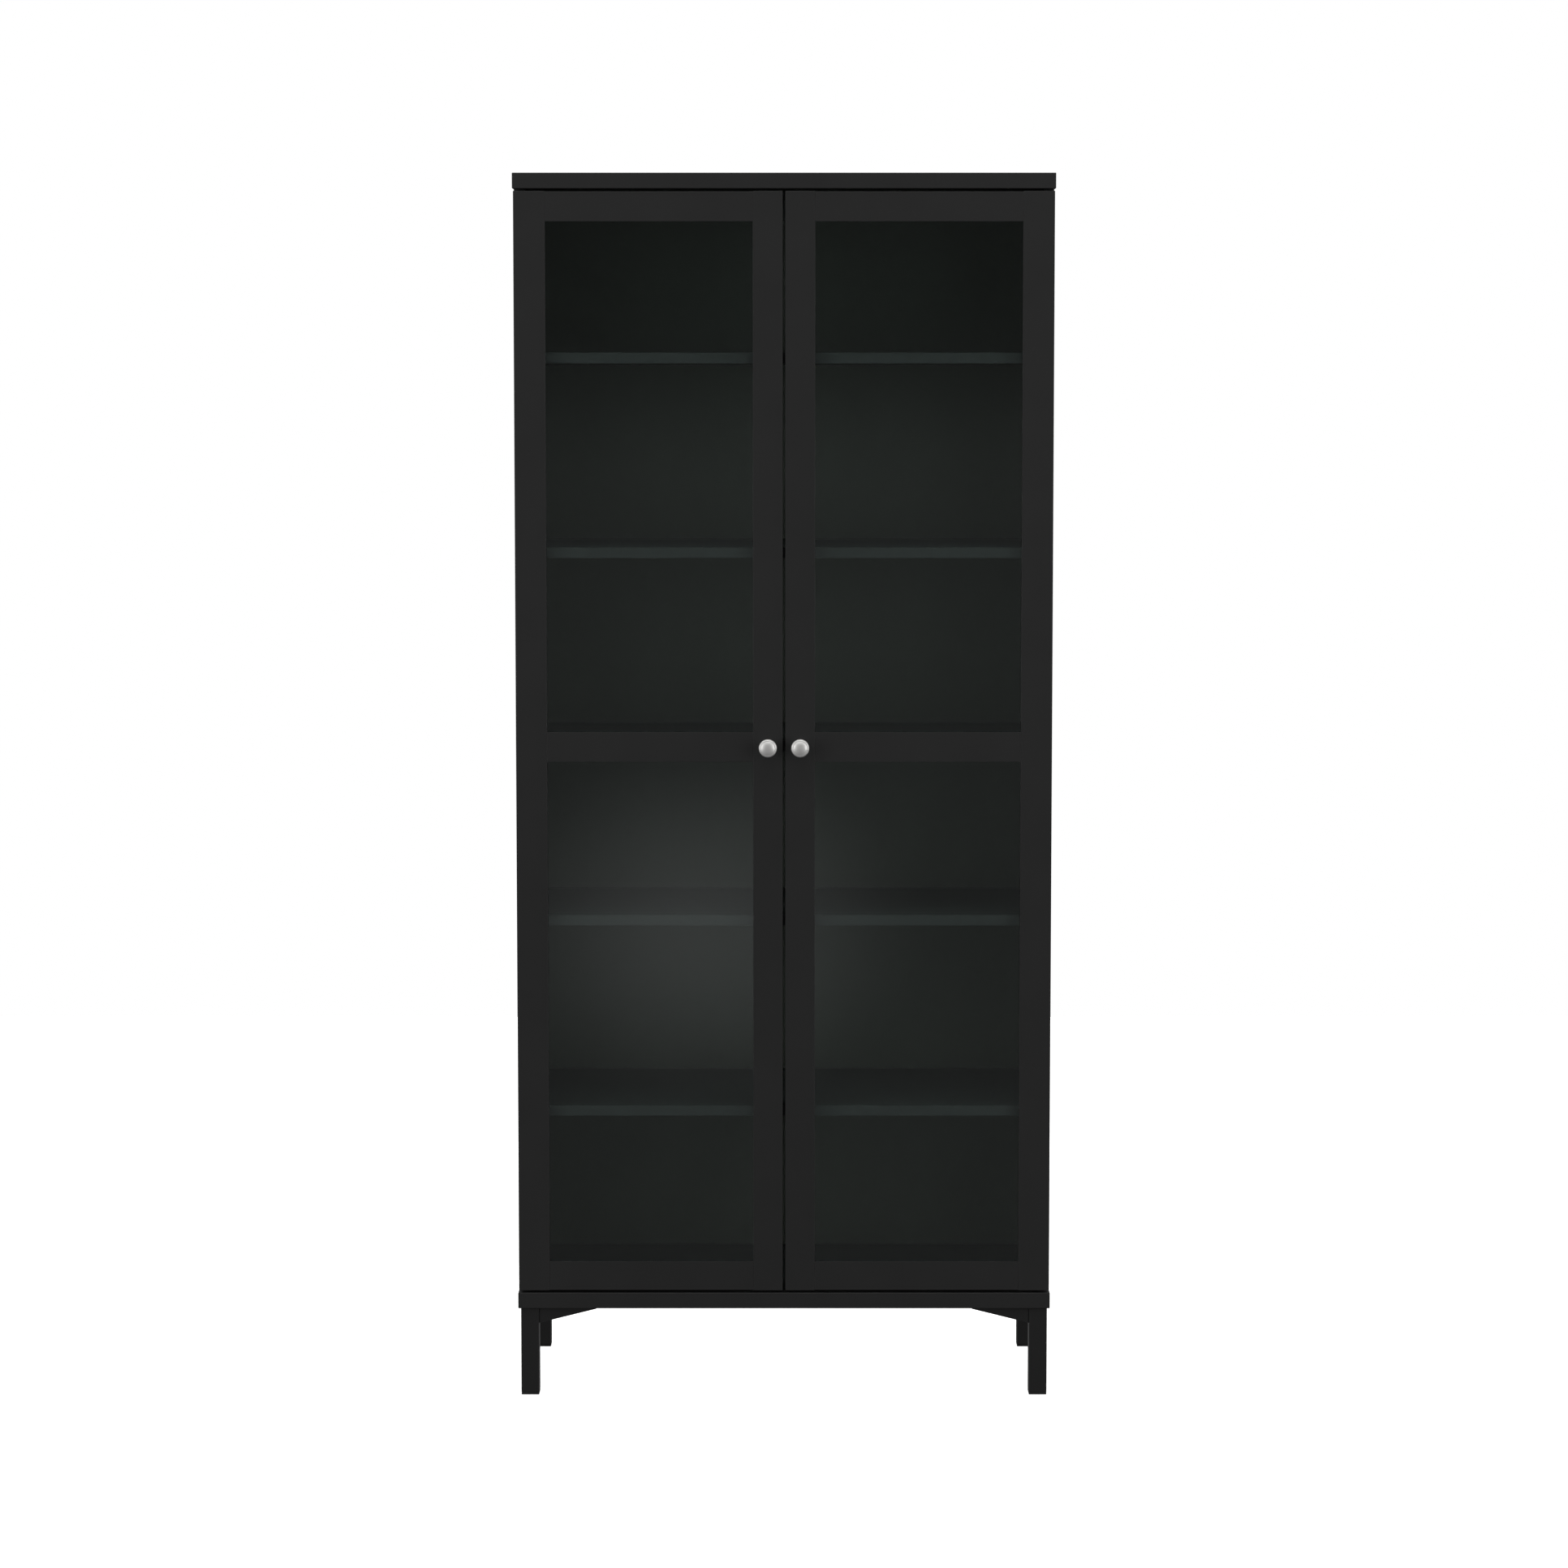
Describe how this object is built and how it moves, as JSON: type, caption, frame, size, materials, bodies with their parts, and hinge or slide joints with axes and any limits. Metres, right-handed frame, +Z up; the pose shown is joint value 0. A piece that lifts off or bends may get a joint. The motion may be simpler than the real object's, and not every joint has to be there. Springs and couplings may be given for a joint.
{
  "type": "china cabinet",
  "caption": "Tall black display cabinet on short legs, with two glazed doors on concealed hinges, shelves inside and small round knobs.",
  "frame": {"origin": "centre of the whole object's footprint, on the floor", "axes": "+Z up, doors and knobs face -Y, +X to the right of a person facing the doors"},
  "size_m": [0.8, 0.378, 1.828],
  "materials": {
    "black_lacquer": "satin black lacquer",
    "black_hardboard": "matt black foil",
    "clear_glass": "clear float glass",
    "brushed_nickel": "satin nickel plate",
    "zinc_steel": "zinc plated",
    "black_plastic": "matt moulded",
    "clear_bumper": "soft clear bumper",
    "birch": "bare wood"
  },
  "bodies": {
    "root": {"top_panel": "black_lacquer", "bottom_panel": "black_lacquer", "left_side_panel": "black_lacquer", "right_side_panel": "black_lacquer", "fixed_shelf": "black_lacquer", "upper_shelf_high": "black_lacquer", "upper_shelf_low": "black_lacquer", "lower_shelf_high": "black_lacquer", "lower_shelf_low": "black_lacquer", "upper_back_panel": "black_hardboard", "lower_back_panel": "black_hardboard", "shelf_pins": "zinc_steel", "cam_discs": "zinc_steel", "cam_bolts": "zinc_steel", "carcass_dowels": "birch", "back_panel_screws": "zinc_steel", "wall_rail": "black_lacquer", "front_left_leg": "black_lacquer", "front_right_leg": "black_lacquer", "rear_left_leg": "black_lacquer", "rear_right_leg": "black_lacquer", "foot_caps": "black_plastic", "front_gussets": "black_lacquer", "rear_gussets": "black_lacquer", "side_gussets": "black_lacquer", "leg_bolts": "zinc_steel", "gusset_screws": "zinc_steel", "hinge_plates": "zinc_steel", "hinge_arms": "zinc_steel", "hinge_plate_screws": "zinc_steel"},
    "left_door": {"left_hinge_stile": "black_lacquer", "left_meeting_stile": "black_lacquer", "left_top_rail": "black_lacquer", "left_middle_rail": "black_lacquer", "left_bottom_rail": "black_lacquer", "left_upper_glass": "clear_glass", "left_lower_glass": "clear_glass", "left_glass_beads": "black_lacquer", "left_frame_dowels": "birch", "left_hinge_cups": "zinc_steel", "left_door_screws": "zinc_steel", "left_bumper": "clear_bumper", "left_knob": "brushed_nickel"},
    "right_door": {"right_hinge_stile": "black_lacquer", "right_meeting_stile": "black_lacquer", "right_top_rail": "black_lacquer", "right_middle_rail": "black_lacquer", "right_bottom_rail": "black_lacquer", "right_upper_glass": "clear_glass", "right_lower_glass": "clear_glass", "right_glass_beads": "black_lacquer", "right_frame_dowels": "birch", "right_hinge_cups": "zinc_steel", "right_door_screws": "zinc_steel", "right_bumper": "clear_bumper", "right_knob": "brushed_nickel"},
    "left_links": {"left_hinge_links": "zinc_steel"},
    "right_links": {"right_hinge_links": "zinc_steel"}
  },
  "joints": [
    {"name": "left_door_hinge", "type": "hinge", "parent": "root", "child": "left_door", "pos_m": [-0.3913, -0.1522, 0.981], "axis": [0, 0, 1], "range_deg": [-95, 0]},
    {"name": "right_door_hinge", "type": "hinge", "parent": "root", "child": "right_door", "pos_m": [0.3913, -0.1522, 0.981], "axis": [0, 0, 1], "range_deg": [0, 95]},
    {"name": "left_link_pivot", "type": "hinge", "parent": "root", "child": "left_links", "pos_m": [-0.371, -0.136, 0.981], "axis": [0, 0, 1], "range_deg": [0, 31.35]},
    {"name": "right_link_pivot", "type": "hinge", "parent": "root", "child": "right_links", "pos_m": [0.371, -0.136, 0.981], "axis": [0, 0, 1], "range_deg": [-31.35, 0]}
  ],
  "couplings": [
    {"joint": "left_link_pivot", "follows": "left_door_hinge", "ratio": -0.33},
    {"joint": "right_link_pivot", "follows": "right_door_hinge", "ratio": -0.33}
  ]
}
